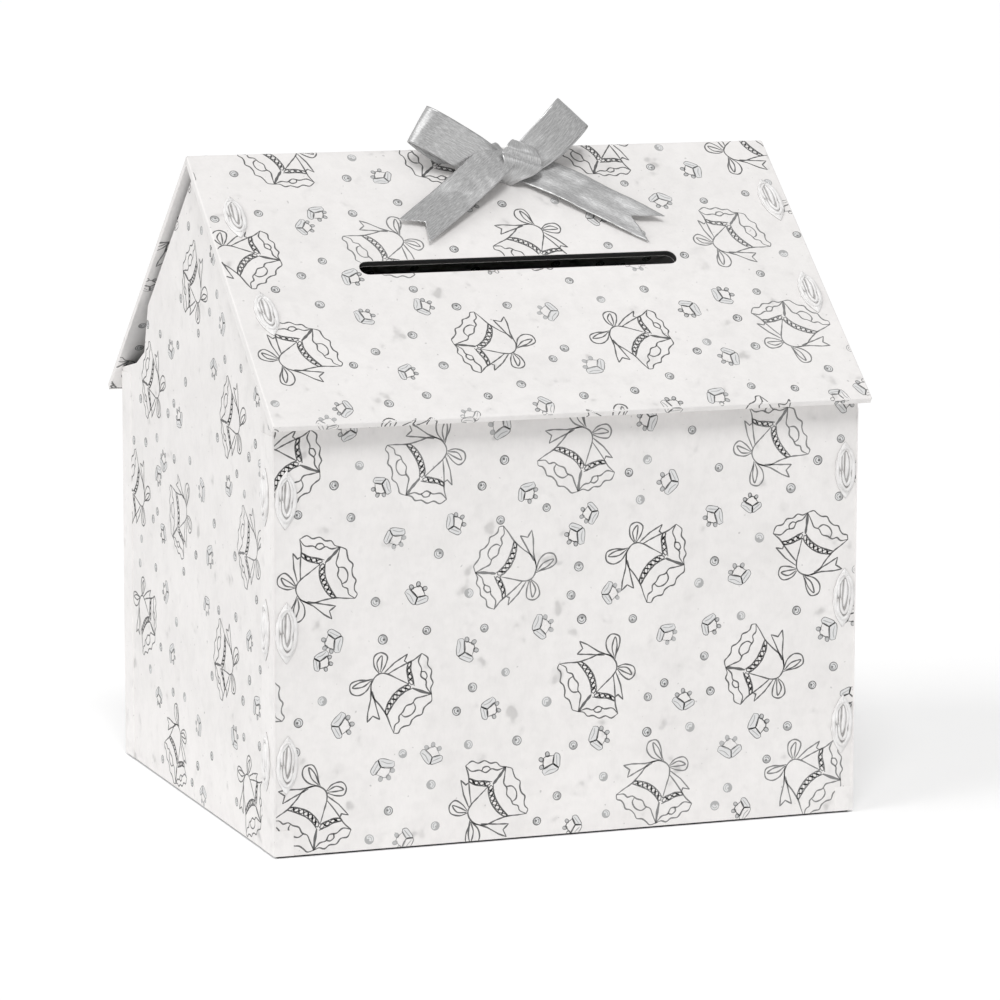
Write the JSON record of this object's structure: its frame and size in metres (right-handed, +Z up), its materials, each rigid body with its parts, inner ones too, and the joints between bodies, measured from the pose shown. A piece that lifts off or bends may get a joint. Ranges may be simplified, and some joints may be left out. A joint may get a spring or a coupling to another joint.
{
  "type": "card box",
  "caption": "House-shaped covered board box with a posting slot in the front roof panel, a rear roof flap that lifts to take cards out, paper roses and a ribbon bow.",
  "frame": {"origin": "middle of the base, on the surface that the box stands on", "axes": "+Z up, -Y towards the front wall with the slot above it, X along the ridge"},
  "size_m": [0.296, 0.273, 0.337],
  "materials": {
    "printed_paper": "matt off-white paper with a fine grey line print of bells, sprigs and dots",
    "plain_paper": "plain white paper, matt",
    "black_board": "black-cored board, matt",
    "foot_card": "black card, matt",
    "rose_paper": "white moulded paper, soft matt",
    "ribbon_satin": "silver-grey brushed satin ribbon"
  },
  "bodies": {
    "box": {"bow_knot": "ribbon_satin", "bow_loop_left": "ribbon_satin", "bow_loop_right": "ribbon_satin", "bow_pad": "plain_paper", "bow_tail_left": "ribbon_satin", "bow_tail_right": "ribbon_satin", "corner_strip_front_left": "plain_paper", "corner_strip_front_right": "plain_paper", "corner_strip_rear_left": "plain_paper", "corner_strip_rear_right": "plain_paper", "floor_board": "black_board", "foot_card": "foot_card", "front_roof_board": "black_board", "front_roof_lining": "printed_paper", "front_roof_paper": "printed_paper", "front_seam_left": "plain_paper", "front_seam_right": "plain_paper", "front_wall_board": "black_board", "front_wall_paper": "printed_paper", "left_gable_board": "black_board", "left_gable_paper": "printed_paper", "rear_wall_board": "black_board", "rear_wall_paper": "printed_paper", "ridge_hinge": "printed_paper", "right_gable_board": "black_board", "right_gable_paper": "printed_paper", "rose_front_left_1": "rose_paper", "rose_front_left_2": "rose_paper", "rose_front_left_3": "rose_paper", "rose_front_right_1": "rose_paper", "rose_front_right_2": "rose_paper", "rose_front_right_3": "rose_paper", "rose_gable_left_1": "rose_paper", "rose_gable_left_2": "rose_paper", "rose_gable_left_3": "rose_paper", "rose_gable_right_1": "rose_paper", "rose_gable_right_2": "rose_paper", "rose_gable_right_3": "rose_paper", "rose_roof_left_1": "rose_paper", "rose_roof_left_2": "rose_paper", "rose_roof_right_1": "rose_paper", "rose_roof_right_2": "rose_paper"},
    "rear_flap": {"rear_roof_board": "black_board", "rear_roof_lining": "printed_paper", "rear_roof_paper": "printed_paper"}
  },
  "joints": [
    {"name": "flap_hinge", "type": "hinge", "parent": "box", "child": "rear_flap", "pos_m": [0, 0, 0.313], "axis": [1, 0, 0], "range_deg": [0, 110], "deforming": ["ridge_hinge"]}
  ]
}
